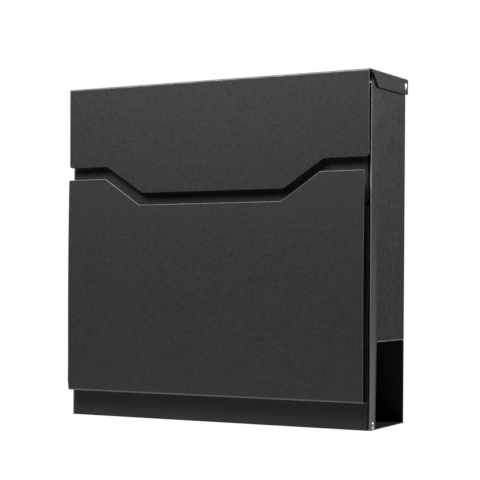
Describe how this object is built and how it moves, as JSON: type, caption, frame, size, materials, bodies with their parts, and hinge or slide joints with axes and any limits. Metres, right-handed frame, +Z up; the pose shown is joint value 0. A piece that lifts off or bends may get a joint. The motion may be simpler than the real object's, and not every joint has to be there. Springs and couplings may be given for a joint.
{
  "type": "wall mailbox",
  "caption": "Wall-mounted sheet-steel mailbox with a rear-hinged stepped lid, a bottom-hinged front door and a newspaper tunnel open at both sides.",
  "frame": {"origin": "on the wall plane, below the middle of the box, level with its underside", "axes": "+X to the viewer's right, the front faces -Y, the wall is the plane Y = 0 with +Y into the wall, +Z up"},
  "size_m": [0.3682, 0.1174, 0.368],
  "materials": {
    "black_sheet": "fine satin black powder coat",
    "bright_rivet": "bright",
    "zinc_steel": "zinc plated",
    "black_rubber": "matt",
    "nylon": "natural",
    "lock_chrome": "polished",
    "lock_brass": "satin"
  },
  "bodies": {
    "housing": {"back_panel": "black_sheet", "side_panel_left": "black_sheet", "side_panel_right": "black_sheet", "floor_panel": "black_sheet", "partition": "black_sheet", "header_plate": "black_sheet", "spacer_pad_1": "black_rubber", "spacer_pad_2": "black_rubber", "spacer_pad_3": "black_rubber", "spacer_pad_4": "black_rubber", "lid_rivet_left": "bright_rivet", "lid_rivet_right": "bright_rivet", "lid_washer_left": "nylon", "lid_washer_right": "nylon", "door_rivet_left": "bright_rivet", "door_rivet_right": "bright_rivet", "lock_housing": "lock_chrome", "lock_nut": "zinc_steel"},
    "lid": {"lid": "black_sheet", "lid_buffer_left": "black_rubber", "lid_buffer_right": "black_rubber"},
    "door": {"door_plate": "black_sheet", "door_panel": "black_sheet", "panel_stud_1": "zinc_steel", "panel_stud_2": "zinc_steel", "panel_stud_3": "zinc_steel", "panel_stud_4": "zinc_steel", "panel_spacer_1": "nylon", "panel_spacer_2": "nylon", "panel_spacer_3": "nylon", "panel_spacer_4": "nylon", "panel_nut_1": "zinc_steel", "panel_nut_2": "zinc_steel", "panel_nut_3": "zinc_steel", "panel_nut_4": "zinc_steel", "strike_bracket": "zinc_steel", "strike_rivet_1": "bright_rivet", "strike_rivet_2": "bright_rivet"},
    "lock": {"lock_plug": "lock_brass", "lock_cam": "zinc_steel", "cam_screw": "zinc_steel"}
  },
  "joints": [
    {"name": "lid_hinge", "type": "hinge", "parent": "housing", "child": "lid", "pos_m": [0, -0.0133, 0.359], "axis": [-1, 0, 0], "range_deg": [0, 90]},
    {"name": "door_hinge", "type": "hinge", "parent": "housing", "child": "door", "pos_m": [0, -0.0953, 0.005], "axis": [1, 0, 0], "range_deg": [0, 100]},
    {"name": "lock_turn", "type": "hinge", "parent": "housing", "child": "lock", "pos_m": [0, -0.104, 0.262], "axis": [0, 1, 0], "range_deg": [0, 90]}
  ]
}
